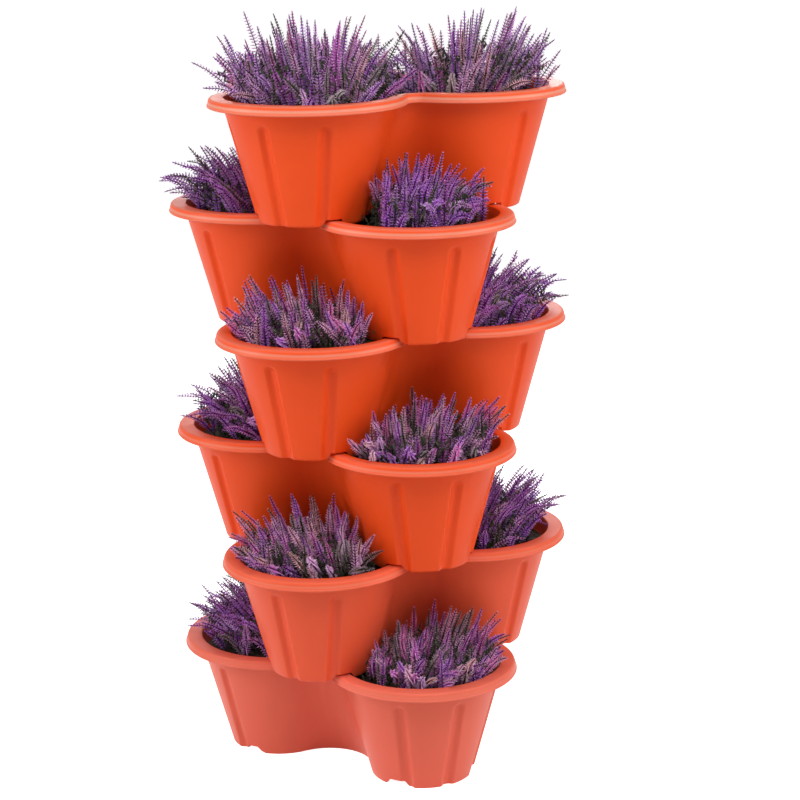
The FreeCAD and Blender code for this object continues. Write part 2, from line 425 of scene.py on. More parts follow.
def pot_bmesh(pot):
    """One pot standing at the origin, as a closed mesh with its drain holes."""
    bm = bmesh.new()
    # Each vertex holds how much painted highlight its ring has.
    layer = bm.verts.layers.float.new("painted_highlight")
    rows = []
    for ring, highlight in zip(*pot_rings(pot, Stations(pot))):
        rows.append([bm.verts.new(point) for point in ring])
        for vert in rows[-1]:
            vert[layer] = highlight
    for low, high in zip(rows, rows[1:]):
        band(bm, low, high)
    drains = []
    for lobe in range(LOBES):
        turn = 2 * HALF_LOBE * lobe
        ends = [[bm.verts.new((
            pot.lobe_reach * math.cos(turn) + pot.drain_radius * math.cos(a),
            pot.lobe_reach * math.sin(turn) + pot.drain_radius * math.sin(a), z))
            for a in [2 * math.pi * i / DRAIN_SIDES for i in range(DRAIN_SIDES)]]
            for z in (SEAT, FLOOR_TOP)]
        band(bm, *ends)
        drains.append(ends)
    for level, border in ((0, rows[0]), (1, rows[-1])):
        edges = loop_edges(bm, border)
        for ends in drains:
            edges += loop_edges(bm, ends[level])
        bmesh.ops.triangle_fill(bm, use_beauty=True, use_dissolve=False, edges=edges)
    bmesh.ops.recalc_face_normals(bm, faces=bm.faces)
    return bm


def stand(mesh, tier, lobe=0):
    """Moves a mesh from the origin to its tier, turned to one of its lobes."""
    mesh.transform(Matrix.Translation(UP * tier_base(tier))
                   @ Matrix.Rotation(tier_turn(tier) + 2 * HALF_LOBE * lobe, 4, "Z"))


def finished(name, mesh, body, slot, *nodes):
    """Puts a finished mesh in the scene, on its body, in place of its CAD nodes."""
    piece = bpy.data.objects.new(name, mesh)
    bpy.context.scene.collection.objects.link(piece)
    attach(piece, body)
    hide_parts(*nodes)


# Nodes of materials and geometry

def add_node(tree, kind, inputs=(), **settings):
    """Adds a node, sets its options and links or fills its inputs."""
    node = tree.nodes.new(kind)
    for key, value in settings.items():
        setattr(node, key, value)
    for socket, value in dict(inputs).items():
        target = node.inputs[socket]
        if isinstance(value, bpy.types.NodeSocket):
            tree.links.new(value, target)
        else:
            target.default_value = value
    return node


def result(tree, kind, name, inputs=(), **settings):
    """Adds a node and returns one of its outputs."""
    return add_node(tree, kind, inputs, **settings).outputs[name]


def combined(tree, operation, first, second):
    """Two numbers combined by an operation."""
    return result(tree, "ShaderNodeMath", "Value", {0: first, 1: second},
                  operation=operation)


# Materials

def new_material(name, roughness, specular=0.5):
    """New material with its node tree and its shader."""
    material = bpy.data.materials.new(name)
    material.use_nodes = True
    shader = material.node_tree.nodes["Principled BSDF"]
    shader.inputs["Roughness"].default_value = roughness
    shader.inputs["Specular IOR Level"].default_value = specular
    return material, material.node_tree, shader


def attribute(tree, name):
    """A number that the mesh holds."""
    return result(tree, "ShaderNodeAttribute", "Fac", attribute_name=name)


def ramp(tree, factor, stops):
    """Colour by a factor, from stops of position and colour."""
    node = add_node(tree, "ShaderNodeValToRGB", {"Fac": factor})
    elements = node.color_ramp.elements
    while len(elements) < len(stops):
        elements.new(0.5)
    for element, (position, colour) in zip(elements, stops):
        element.position = position
        element.color = (*colour, 1)
    return node.outputs["Color"]


def grain(tree, scale, detail):
    """Noise that stays on the piece."""
    place = result(tree, "ShaderNodeTexCoord", "Object")
    return result(tree, "ShaderNodeTexNoise", "Fac",
                  {"Vector": place, "Scale": scale, "Detail": detail})


def seen_rays(tree):
    """1 for the rays that show the background: straight, mirrored or through something."""
    path = add_node(tree, "ShaderNodeLightPath").outputs
    seen = path["Is Camera Ray"]
    for ray in ("Is Glossy Ray", "Is Transmission Ray"):
        seen = combined(tree, "MAXIMUM", seen, path[ray])
    return seen


def plastic_material(name, colour, lip_highlight_colour, roughness):
    """Satin moulded plastic with a faint unevenness, paler along the lip where a highlight is
    painted.
    """
    material, tree, shader = new_material(name, roughness, 0.2)
    shader.inputs["IOR"].default_value = 1.48
    # The ramp paints the lip's highlight over the plastic's own colour.
    paint = ramp(tree, attribute(tree, "painted_highlight"), [(0.0, colour), (1.0, lip_highlight_colour)])
    tree.links.new(paint, shader.inputs["Base Color"])
    waves = result(tree, "ShaderNodeBump", "Normal", {
        "Height": grain(tree, 22.0, 3.0), "Strength": 0.12, "Distance": 0.001})
    tree.links.new(waves, shader.inputs["Normal"])
    return material


def compost_material(colour):
    """Dark crumbly compost with paler fibres."""
    material, tree, shader = new_material("compost", 0.95)
    paint = ramp(tree, grain(tree, 260.0, 6.0), [(0.35, [c * 0.5 for c in colour]),
                                                 (0.75, [c * 3.2 for c in colour])])
    tree.links.new(paint, shader.inputs["Base Color"])
    return material


LEAF_GREEN = (0.050, 0.056, 0.034)
OLIVE = (0.110, 0.105, 0.065)
SAGE = (0.330, 0.310, 0.270)
ROSE_TAN = (0.720, 0.360, 0.340)
PINK_LILAC = (0.780, 0.380, 0.660)
LILAC = (0.660, 0.330, 0.880)
VIOLET = (0.470, 0.095, 0.640)
BLUE_VIOLET = (0.510, 0.130, 0.860)
MAGENTA = (0.780, 0.150, 0.540)
PALE_LILAC = (0.950, 0.680, 0.930)
TONES = [(0.0, OLIVE), (0.12, OLIVE), (0.20, SAGE), (0.30, ROSE_TAN), (0.42, PINK_LILAC),
         (0.56, LILAC), (0.68, VIOLET), (0.80, BLUE_VIOLET), (1.0, MAGENTA)]


def heather_material():
    """Green foot, olive to violet and rose florets by stem, with paler ends and painted shade
    towards each stem.
    """
    material, tree, shader = new_material("heather", 0.8, 0.2)

    def fade(name, start, start_grey, end, end_grey):
        return ramp(tree, attribute(tree, name), [(start, (start_grey,) * 3),
                                                  (end, (end_grey,) * 3)])

    def blend(kind, factor, first, second):
        return result(tree, "ShaderNodeMix", 2, {0: factor, 6: first, 7: second},
                      data_type="RGBA", blend_type=kind)

    flower = ramp(tree, attribute(tree, "tone"), TONES)
    pale = blend("MULTIPLY", 1.0, fade("out", 0.35, 0.0, 0.9, 0.80),
                 fade("pip", 0.1, 0.0, 0.8, 1.0))
    colour = blend("MIX", pale, flower, (*PALE_LILAC, 1))
    colour = blend("MIX", fade("grow", 0.08, 1.0, 0.26, 0.0), colour, (*LEAF_GREEN, 1))
    # Painted shade: florets and leaves darken towards the stem, where the core of each whorl lies
    # in shade; the stems, which hold no out, take the darkest value, which also gives them their
    # own dark colour.
    colour = blend("MULTIPLY", 1.0, colour, fade("out", 0.0, 0.12, 0.40, 1.0))
    colour = blend("MULTIPLY", 1.0, colour, fade("speck", 0.0, 0.64, 0.85, 1.0))
    tree.links.new(colour, shader.inputs["Base Color"])
    return material


# Geometry node trees

FLORETS_IN_WHORL = 5
WHORL_RADIUS = 0.02                  # of the ring they start from, over a floret's length
FLORET_LEAN = math.radians(72)       # away from the stem
FLORET_BREADTH = 0.14                # half its width, over its length
# Size of the florets along a stem
FLORET_TAPER = ((0.0, 0.75), (0.25, 0.98), (0.5, 0.95), (0.8, 0.64), (1.0, 0.2))
FLORET_VARIES = (0.78, 1.15)         # in size
GOLDEN_ANGLE = math.radians(137.5)
FLOWERS_FROM = 0.16                  # share of a stem that stays bare at its foot
STEM_POINTS = 6
LEAF_TUMBLE = ((-0.9, -0.9, 0), (0.9, 0.9, 6.28))
CRUMB_TURN = ((0, 0, 0), (6.28, 6.28, 6.28))     # radians, as the leaves' tumble
CRUMB_SHAPE = ((0.3, 0.3, 0.2), (1.0, 0.8, 0.7))


def node_group(name, sizes):
    """New geometry node tree with named inputs; returns it with those inputs."""
    tree = bpy.data.node_groups.new(name, "GeometryNodeTree")
    add = tree.interface.new_socket
    add("Geometry", in_out="INPUT", socket_type="NodeSocketGeometry")
    for label, size in sizes.items():
        add(label, in_out="INPUT", socket_type="NodeSocketFloat").default_value = size
    add("Seed", in_out="INPUT", socket_type="NodeSocketInt")
    add("Material", in_out="INPUT", socket_type="NodeSocketMaterial")
    add("Geometry", in_out="OUTPUT", socket_type="NodeSocketGeometry")
    return tree, tree.nodes.new("NodeGroupInput").outputs


def end_group(tree, parts, material):
    """Joins the parts, makes them real and painted, and ends the tree with them."""
    joined = add_node(tree, "GeometryNodeJoinGeometry")
    for part in parts:
        tree.links.new(part, joined.inputs["Geometry"])
    real = result(tree, "GeometryNodeRealizeInstances", "Geometry",
                  {"Geometry": joined.outputs["Geometry"]})
    painted = result(tree, "GeometryNodeSetMaterial", "Geometry",
                     {"Geometry": real, "Material": material})
    add_node(tree, "NodeGroupOutput", {"Geometry": painted})
    return tree


def marked(tree, geometry, name, value, domain="POINT"):
    """The geometry with one more number on its points or instances."""
    return result(tree, "GeometryNodeStoreNamedAttribute", "Geometry",
                  {"Geometry": geometry, "Name": name, "Value": value},
                  data_type="FLOAT", domain=domain)


def guide_value(tree, name, kind):
    """What the guide mesh holds under a name."""
    return result(tree, "GeometryNodeInputNamedAttribute", "Attribute", {"Name": name},
                  data_type=kind)


def random_number(tree, seed, low=0.0, high=1.0):
    """Another number for every point or instance."""
    return result(tree, "FunctionNodeRandomValue", 1, {2: low, 3: high, "Seed": seed},
                  data_type="FLOAT")


def random_vector(tree, seed, low, high):
    """Another vector for every point."""
    return result(tree, "FunctionNodeRandomValue", 0, {0: low, 1: high, "Seed": seed},
                  data_type="FLOAT_VECTOR")


def scaled(tree, vector, length):
    """A vector times a length."""
    return result(tree, "ShaderNodeVectorMath", "Vector", {0: vector, "Scale": length},
                  operation="SCALE")


def turned(tree, axis, angle):
    """Rotation about an axis."""
    return result(tree, "FunctionNodeAxisAngleToRotation", "Rotation",
                  {"Axis": axis, "Angle": angle})


def then_turned(tree, rotation, extra):
    """A rotation and a second one in the turned frame."""
    return result(tree, "FunctionNodeRotateRotation", "Rotation",
                  {"Rotation": rotation, "Rotate By": extra}, rotation_space="LOCAL")


def placed(tree, points, piece, **inputs):
    """Copies of a piece on points."""
    return result(tree, "GeometryNodeInstanceOnPoints", "Instances",
                  {"Points": points, "Instance": piece, **inputs})


def bud(tree):
    """A slim bud along +Z, one unit long, that keeps how far out its points are."""
    ball = result(tree, "GeometryNodeMeshUVSphere", "Mesh",
                  {"Segments": 3, "Rings": 2, "Radius": 0.5})
    slim = result(tree, "GeometryNodeTransform", "Geometry",
                  {"Geometry": ball, "Translation": (0, 0, 0.5),
                   "Scale": (2 * FLORET_BREADTH, 2 * FLORET_BREADTH, 1)})
    place = result(tree, "GeometryNodeInputPosition", "Position")
    return marked(tree, slim, "out", result(tree, "ShaderNodeSeparateXYZ", "Z", {0: place}))


def whorl(tree, floret):
    """A ring of florets that lean up and out from one point of the stem."""
    ring = result(tree, "GeometryNodeMeshCircle", "Mesh",
                  {"Vertices": FLORETS_IN_WHORL, "Radius": WHORL_RADIUS})
    around = combined(tree, "MULTIPLY", result(tree, "GeometryNodeInputIndex", "Index"),
                    2 * math.pi / FLORETS_IN_WHORL)
    posed = then_turned(tree, turned(tree, (0, 0, 1), around),
                        turned(tree, (0, 1, 0), FLORET_LEAN))
    pips = marked(tree, placed(tree, ring, floret, Rotation=posed), "pip",
                  random_number(tree, FLORETS_IN_WHORL), "INSTANCE")
    return result(tree, "GeometryNodeRealizeInstances", "Geometry", {"Geometry": pips})


def spike_tree():
    """Whorls of florets and leaves along every stem, and the stem itself."""
    tree, given = node_group("heather spikes", {
        "Whorl Pitch": 0.003, "Floret Length": 0.0064, "Leaf Length": 0.009,
        "Stem Radius": 0.0006})
    seed = given["Seed"]
    along = result(tree, "GeometryNodeSplineParameter", "Factor")
    varying = random_number(tree, seed, *FLORET_VARIES)
    speck = random_number(tree, seed)
    floret = bud(tree)

    stems = result(tree, "GeometryNodeMeshToCurve", "Curve", {"Mesh": given["Geometry"]})
    flowering = result(tree, "GeometryNodeTrimCurve", "Curve",
                       {"Curve": stems, 2: FLOWERS_FROM}, mode="FACTOR")
    sampled = result(tree, "GeometryNodeResampleCurve", "Curve",
                     {"Curve": flowering, "Length": given["Whorl Pitch"]}, mode="LENGTH")
    raised = result(tree, "ShaderNodeMapRange", "Result",
                    {"Value": along, "To Min": FLOWERS_FROM})
    tangent = result(tree, "GeometryNodeInputTangent", "Tangent")
    upright = result(tree, "FunctionNodeAlignRotationToVector", "Rotation",
                     {"Vector": tangent}, axis="Z")
    golden = combined(tree, "MULTIPLY", result(tree, "GeometryNodeInputIndex", "Index"),
                    GOLDEN_ANGLE)
    spun = then_turned(tree, upright, turned(tree, (0, 0, 1), golden))
    taper = add_node(tree, "ShaderNodeFloatCurve", {"Value": along})
    points = taper.mapping.curves[0].points
    points[0].location, points[1].location = FLORET_TAPER[0], FLORET_TAPER[-1]
    for place in FLORET_TAPER[1:-1]:
        points.new(*place)
    taper.mapping.update()
    wide = combined(tree, "MULTIPLY", combined(tree, "MULTIPLY", taper.outputs["Value"], varying),
                  guide_value(tree, "breadth", "FLOAT"))
    size = result(tree, "ShaderNodeCombineXYZ", "Vector", {"X": wide, "Y": wide, "Z": 0.9})
    whorls = placed(tree, marked(tree, sampled, "grow", raised), whorl(tree, floret),
                    Rotation=spun, Scale=scaled(tree, size, given["Floret Length"]))

    thin = result(tree, "GeometryNodeResampleCurve", "Curve",
                  {"Curve": stems, "Count": STEM_POINTS})
    section = result(tree, "GeometryNodeCurvePrimitiveCircle", "Curve",
                     {"Resolution": 3, "Radius": given["Stem Radius"]})
    tubes = result(tree, "GeometryNodeCurveToMesh", "Mesh",
                   {"Curve": marked(tree, thin, "grow", along), "Profile Curve": section,
                    "Fill Caps": True})
    leaves = placed(tree, given["Geometry"], floret,
                    Selection=guide_value(tree, "leaf", "BOOLEAN"),
                    Rotation=random_vector(tree, seed, *LEAF_TUMBLE),
                    Scale=combined(tree, "MULTIPLY", varying, given["Leaf Length"]))
    return end_group(tree, (tubes, marked(tree, whorls, "speck", speck, "INSTANCE"),
                            marked(tree, leaves, "speck", speck, "INSTANCE")),
                     given["Material"])


def crumb_tree():
    """Loose crumbs scattered over the top of the compost."""
    tree, given = node_group("compost crumbs", {"Density": 4000.0, "Size": 0.0035})
    seed = given["Seed"]
    facing = result(tree, "ShaderNodeSeparateXYZ", "Z",
                    {0: result(tree, "GeometryNodeInputNormal", "Normal")})
    upward = result(tree, "FunctionNodeCompare", "Result", {0: facing, 1: 0.5},
                    data_type="FLOAT", operation="GREATER_THAN")
    spots = result(tree, "GeometryNodeDistributePointsOnFaces", "Points",
                   {"Mesh": given["Geometry"], "Selection": upward,
                    "Density": given["Density"], "Seed": seed})
    crumb = result(tree, "GeometryNodeMeshIcoSphere", "Mesh",
                   {"Radius": 0.5, "Subdivisions": 1})
    size = scaled(tree, random_vector(tree, seed, *CRUMB_SHAPE), given["Size"])
    crumbs = placed(tree, spots, crumb, Scale=size,
                    Rotation=random_vector(tree, seed, *CRUMB_TURN))
    return end_group(tree, (given["Geometry"], crumbs), given["Material"])


def grown(mesh, tree, values):
    """Runs a geometry node tree over a mesh and returns the result as a plain mesh."""
    carrier = bpy.data.objects.new("carrier", mesh)
    bpy.context.scene.collection.objects.link(carrier)
    modifier = carrier.modifiers.new("grow", "NODES")
    modifier.node_group = tree
    for item in tree.interface.items_tree:
        if item.in_out == "INPUT" and item.name in values:
            modifier[item.identifier] = values[item.name]
    graph = bpy.context.evaluated_depsgraph_get()
    plain = bpy.data.meshes.new_from_object(carrier.evaluated_get(graph), depsgraph=graph)
    carrier.modifiers.remove(modifier)
    bpy.data.objects.remove(carrier)
    bpy.data.meshes.remove(mesh)
    return plain


# Compost

EVERY_THIRD = 3          # of the pot's stations, so many make one of the compost's
COLLAR = 0.0015          # depth of the band at the top that reaches out to the wall
COLLAR_END = 0.004       # depth at which the compost clears the flutes
BUMP_SCALE = 60          # of the surface's noise
JITTER = (0.1, 0.9)      # where in its square a point of the surface stands


def compost_mesh(pot, compost, seed):
    """A pot's compost, with an uneven top, standing where the pot stands."""
    stations = Stations(pot)
    keep = np.arange(0, len(stations.angle), EVERY_THIRD)
    tight = pot.wall + compost.clearance
    deep = tight + pot.flute_depth
    edge = SOIL_TOP - compost.bumps
    rings = [stations.wall_ring(z, inset, False)[keep] for z, inset in (
        (FLOOR_TOP, deep), (edge - COLLAR_END, deep), (edge - COLLAR, tight), (edge, tight))]
    count = len(keep)
    plan = wall_plan(pot, SOIL_TOP)
    reach = pot.lobe_reach + pot.top_radius
    chance = random.Random(seed)
    steps = int(2 * reach / compost.spacing)
    points = [Vector(p[:2]) for p in rings[-1]]
    for i in range(steps):
        for j in range(steps):
            x = -reach + compost.spacing * (i + chance.uniform(*JITTER))
            y = -reach + compost.spacing * (j + chance.uniform(*JITTER))
            if not plan.outside(x, y, -tight - compost.spacing * 0.6):
                points.append(Vector((x, y)))
    edges = [(i, (i + 1) % count) for i in range(count)]
    flat, _, faces, origin, _, _ = delaunay_2d_cdt(points, edges, [], 1, 1e-7)
    bm = bmesh.new()
    top = []
    for point, source in zip(flat, origin):
        where = Vector((point.x, point.y, seed * 0.3)) * BUMP_SCALE
        bump = 0.0 if any(s < count for s in source) else noise.fractal(where, 1.0, 2.0, 4)
        top.append(bm.verts.new((point.x, point.y,
                                 min(edge + bump * compost.bumps, SOIL_TOP))))
    for face in faces:
        bm.faces.new([top[i] for i in face])
    above = top[:count]
    for ring in reversed(rings[:-1]):
        below = [bm.verts.new(p) for p in ring]
        band(bm, below, above)
        above = below
    bm.faces.new(list(reversed(above)))
    bmesh.ops.recalc_face_normals(bm, faces=bm.faces)
    mesh = bpy.data.meshes.new("compost")
    bm.to_mesh(mesh)
    bm.free()
    return mesh


# Heather

# Tones: 0 olive, 0.2 sage, 0.3 rose tan, 0.42 pink lilac, 0.56 lilac, 0.68 violet,
# 0.8 blue violet, 1 magenta
MIXED = (0.05, 0.14, 0.30, 0.36, 0.42, 0.46, 0.66, 0.69, 0.72, 0.92, 0.96, 1.0)
PURPLE = (0.10, 0.52, 0.58, 0.62, 0.72, 0.78, 0.80, 0.83, 0.86)
DEEP = (0.05, 0.66, 0.70, 0.90, 0.95, 1.0)
PALE = (0.05, 0.20, 0.34, 0.42, 0.45, 0.48, 0.52, 0.55, 0.58, 0.68, 0.92, 1.0)


class Habit:
    """How a heather grows: a wide fan, from which the others differ."""
    tall = 0.93              # height, over the usual one
    broad = 1.0              # spread, over the usual one
    wide = 1.38              # how much wider it is aside than outward
    inner = 0.0              # how much wider still towards the tower's axis
    round_top = 0.0          # from 0, flat with steep sides, to 1, a ball
    inward = 0.0             # how much nearer to the tower's axis it stands
    root = (0.5, 1.0)        # where its stems start, over where they end
    bend = (-0.10, 0.10)     # below 0 the stems rise before they lean out
    tones = MIXED

    @classmethod
    def widening(cls, way):
        """How much wider the bush is one way than outward."""
        out = math.cos(way)
        return cls.wide + (1 - cls.wide) * max(0.0, out) + cls.inner * max(0.0, -out)


class Ball(Habit):
    """Round, with arching stems."""
    tall, broad, wide, round_top = 1.02, 1.12, 1.04, 1.0
    root, bend, tones = (0.25, 1.0), (-0.30, -0.10), PURPLE


class SmallBall(Ball):
    """Smaller, and further in."""
    tall, broad, inward = 0.96, 1.0, 0.010


class Tall(Habit):
    """Tall and pale, on the top tier."""
    tall, broad, wide, inner, round_top = 1.10, 1.11, 1.40, 0.35, 0.15
    root, tones = (0.4, 1.05), PALE


class Broad(Tall):
    """The same, less tall."""
    tall, broad, wide = 0.98, 1.08, 1.36


class Low(Tall):
    """Low and deep violet, at the back of the top tier."""
    tall, broad, wide, inner, round_top = 0.66, 1.10, 1.25, 0.30, 0.5
    inward, tones = 0.012, DEEP


TOP_HABITS = (Broad, Low, Tall)
TUFTS = 5
STEPS = 6                    # straight stretches along a stem
STEM_MIDDLE = 0.55           # where along a stem its bend is
SWAY, SWING = 0.07, 0.15     # how much stems bend aside and start askew
ON_SURFACE = 0.15            # share of spikes that end on the bush's surface
DEPTHS = (0.35, 1.0)         # how deep the others end, before it is squared
DEEP_HEIGHT, DEEP_REACH = 0.5, 0.25      # how much lower and less far the deepest end
TIP_HEIGHTS = (0.9, 1.0)     # over the height of the surface or depth that they end on
PATCH_LIMIT = 1.1            # the most by which a wide bush widens its foot
YOUNG = 0.12                 # share of short upright spikes near the pot's rim
YOUNG_SHARES, YOUNG_HEIGHTS = (0.7, 1.0), (0.034, 0.052)
YOUNG_LEAN = 0.15            # over the lean of a grown spike
OUTER_BEND = 0.15            # how much more the outermost stems rise before they lean out
TONE_VARIES, BREADTHS = 0.03, (0.6, 1.1)
LEAFY_SHARE, LEAFY_HEIGHT, LEAFY_SPREAD = 0.8, 0.65, 0.85    # of the bush, for its leaves
SPIKE_TRIES, LEAF_TRIES = 80, 20         # for each one that finds room
FOOT_DEPTH = 0.003           # of the stems in the compost
MM = 1000                    # plans of the pot above, for each metre of its height


def habit_of(tier, number):
    """Which habit the heather in one lobe has."""
    if tier == TIERS[-1]:
        return TOP_HABITS[number - 1]
    if number < LOBES:
        return Ball
    return SmallBall if tier == TIERS[-2] else Habit


def crown_height(heather, height, share, tuft, round_top):
    """Height of a bush's surface over the compost at a share of its spread."""
    fan = 1 - share ** (3 + 2 * tuft)
    ball = math.sqrt(1 - share ** 2)
    return heather.spread_rise + (height - heather.spread_rise) * (
        fan + (ball - fan) * round_top)


def spike_path(foot, tip, sag, sway):
    """A spike from its foot to its tip, bending upwards and a little aside."""
    along = tip - foot
    aside = Vector((-along.y, along.x, 0.0)) * sway
    middle = foot.lerp(tip, STEM_MIDDLE) - UP * sag * along.length + aside
    return [foot * (1 - t) ** 2 + middle * 2 * t * (1 - t) + tip * t ** 2
            for t in [i / STEPS for i in range(STEPS + 1)]]


class Bush:
    """One bush at the lobe towards +X, clear of its own pot and of the pot above."""

    def __init__(self, pot, heather, habit, plans, crowned, seed):
        self.pot = pot
        self.heather = heather
        self.habit = habit
        self.plans = plans
        self.crowned = crowned
        self.chance = random.Random(seed)
        self.height = (heather.top_height if crowned else heather.height) * habit.tall
        self.foot = Vector((heather.foot_reach - habit.inward, 0.0,
                            SOIL_TOP - FOOT_DEPTH))

    def clear(self, point):
        """Whether a point keeps clear of the pots' walls."""
        pot, room = self.pot, self.heather.clearance
        if point.z < POT_HEIGHT + room:
            inner = wall_radius(pot, point.z) - pot.wall - room
            out = point.x - pot.lobe_reach
            if (math.hypot(out, point.y) if out > 0 else abs(point.y)) > inner:
                return False
        rise = point.z - PITCH
        if self.crowned or rise < -room:
            return True
        x, y = Matrix.Rotation(HALF_LOBE, 2) @ Vector((point.x, point.y))
        level = min(max(0, int(rise * MM)), len(self.plans) - 1)
        return self.plans[level].outside(x, y, room)

    def spike(self):
        """One spike, drawn at random, which may be in the way of a pot."""
        heather, habit, chance = self.heather, self.habit, self.chance
        young = chance.random() < YOUNG
        share = chance.uniform(*YOUNG_SHARES) if young else math.sqrt(chance.random())
        way = chance.uniform(-math.pi, math.pi)
        tuft = 0.5 + 0.5 * math.cos(TUFTS * way)
        wide = habit.widening(way)
        reach = (heather.spread * habit.broad * wide - heather.furrow * (1 - tuft)) * share
        deep = 0.0 if chance.random() < ON_SURFACE else chance.uniform(*DEPTHS) ** 2
        rise = crown_height(heather, self.height, share, tuft, habit.round_top)
        rise *= 1 - DEEP_HEIGHT * deep
        reach *= 1 - DEEP_REACH * deep
        tip = Vector((heather.reach - habit.inward + reach * math.cos(way),
                      reach * math.sin(way), SOIL_TOP + rise * chance.uniform(*TIP_HEIGHTS)))
        wide = min(wide, PATCH_LIMIT)
        root = heather.foot * share * chance.uniform(*habit.root) * wide
        swing = way + chance.gauss(0, SWING)
        foot = self.foot + Vector((root * math.cos(swing), root * math.sin(swing), 0.0))
        sag = chance.uniform(*habit.bend) - OUTER_BEND * share ** 4
        if young:
            outward = (foot.xy - self.foot.xy).normalized()
            foot.xy = self.foot.xy + outward * (heather.foot * share * wide)
            tip = foot + (tip - foot) * YOUNG_LEAN + UP * chance.uniform(*YOUNG_HEIGHTS)
            sag = 0.0
        return spike_path(foot, tip, sag, chance.gauss(0, SWAY))

    def leaf(self):
        """Foot of one leaf, deep inside the bush."""
        heather, habit, chance = self.heather, self.habit, self.chance
        share = math.sqrt(chance.random()) * LEAFY_SHARE
        way = chance.uniform(-math.pi, math.pi)
        up = chance.random()
        middle = self.foot.x + (heather.reach - heather.foot_reach) * up
        crown = crown_height(heather, self.height, share, 0.0, habit.round_top)
        rise = up * (crown * LEAFY_HEIGHT - heather.leaf_length)
        wide = heather.spread * habit.broad * LEAFY_SPREAD
        reach = (heather.foot + (wide - heather.foot) * up) * share * habit.widening(way)
        return Vector((middle + reach * math.cos(way), reach * math.sin(way),
                       SOIL_TOP + rise))

    def guides(self):
        """Spikes as open lines and leaves as points."""
        heather, chance = self.heather, self.chance
        rows, edges = [], []         # a row: point, tone, breadth and whether it is a leaf
        for _ in range(heather.spikes * SPIKE_TRIES):
            if len(edges) >= heather.spikes * STEPS:
                break
            path = self.spike()
            if all(self.clear(p) for p in path):
                edges += [(len(rows) + i, len(rows) + i + 1) for i in range(STEPS)]
                tone = chance.choice(self.habit.tones)
                tone += chance.uniform(-TONE_VARIES, TONE_VARIES)
                breadth = chance.uniform(*BREADTHS)
                rows += [(point, tone, breadth, False) for point in path]
        stems = len(rows)
        for _ in range(heather.leaves * LEAF_TRIES):
            if len(rows) == stems + heather.leaves:
                break
            leaf = self.leaf()
            if self.clear(leaf) and self.clear(leaf + UP * heather.leaf_length):
                rows.append((leaf, 0.0, 1.0, True))
        points, tones, breadths, leafy = zip(*rows)
        mesh = bpy.data.meshes.new("spikes")
        mesh.from_pydata(points, edges, [])
        for name, kind, values in (("tone", "FLOAT", tones), ("breadth", "FLOAT", breadths),
                                   ("leaf", "BOOLEAN", leafy)):
            mesh.attributes.new(name, kind, "POINT").data.foreach_set("value", values)
        return mesh


# Operators

FLOOR_LIGHT_SHARE = {1: 1.0, 2: 0.4}     # how much of the painted floor light a tier's plastic takes on, as a paler colour
LIP_HIGHLIGHT_FADE = 0.85              # how much less the lip's painted highlight stands out on the lowest tier than on the highest
SHARP = math.radians(38)     # from here on an edge of a pot stays sharp


class PLANTER_OT_pots(Operator):
    """Makes the six moulded pots"""
    bl_idname = "planter.pots"
    bl_label = "Pots"

    def execute(self, context):
        pot = context.scene.planter_pot
        upper, lowest = Vector(pot.colour), Vector(pot.floor_lit_colour)
        shape = pot_bmesh(pot)
        for tier in TIERS:
            mesh = bpy.data.meshes.new("pot")
            shape.to_mesh(mesh)
            stand(mesh, tier)
            mesh.shade_smooth()
            mesh.set_sharp_from_angle(angle=SHARP)
            # The lowest tiers are painted paler for the light that the floor throws up onto them.
            wall = upper.lerp(lowest, FLOOR_LIGHT_SHARE.get(tier, 0.0))
            # The lip's painted highlight fades from the top tier down, since the light falls most
            # on the upper lips.
            fade = LIP_HIGHLIGHT_FADE * (TIERS[-1] - tier) / (TIERS[-1] - TIERS[0])
            lip = Vector(pot.lip_highlight_colour).lerp(wall, fade)
            mesh.materials.append(plastic_material("terracotta plastic %d" % tier, wall, lip,
                                                   pot.roughness))
            finished("moulded_pot_%d" % tier, mesh, "tier_%d" % tier, "terracotta_plastic",
                     "pot_%d" % tier)
        shape.free()
        return {"FINISHED"}


class PLANTER_OT_compost(Operator):
    """Fills every pot with compost"""
    bl_idname = "planter.compost"
    bl_label = "Compost"

    def execute(self, context):
        pot = context.scene.planter_pot
        compost = context.scene.planter_compost
        paint = compost_material(compost.colour)
        tree = crumb_tree()
        area = math.pi * pot.top_radius ** 2 * LOBES
        for tier in TIERS:
            mesh = grown(compost_mesh(pot, compost, tier), tree, {
                "Density": compost.crumbs / area, "Size": compost.crumb_size, "Seed": tier,
                "Material": paint})
            stand(mesh, tier)
            finished("loose_compost_%d" % tier, mesh, "tier_%d" % tier, "compost",
                     "compost_%d" % tier)
        return {"FINISHED"}


class PLANTER_OT_heathers(Operator):
    """Plants a heather in every lobe"""
    bl_idname = "planter.heathers"
    bl_label = "Heathers"

    def execute(self, context):
        pot = context.scene.planter_pot
        heather = context.scene.planter_heather
        paint = heather_material()
        tree = spike_tree()
        plans = [wall_plan(pot, mm / MM) for mm in range(round(POT_HEIGHT * MM) + 1)]
        for tier in TIERS:
            for number in range(1, LOBES + 1):
                seed = 10 * tier + number
                bush = Bush(pot, heather, habit_of(tier, number), plans, tier == TIERS[-1],
                            seed)
                mesh = grown(bush.guides(), tree, {
                    "Whorl Pitch": heather.whorl_pitch, "Floret Length": heather.floret_length,
                    "Leaf Length": heather.leaf_length, "Stem Radius": heather.stem_radius,
                    "Seed": seed, "Material": paint})
                stand(mesh, tier, number - 1)
                finished("heather_bush_%d_%d" % (tier, number), mesh, "tier_%d" % tier,
                         "heather", "heather_%d_%d" % (tier, number))
        return {"FINISHED"}


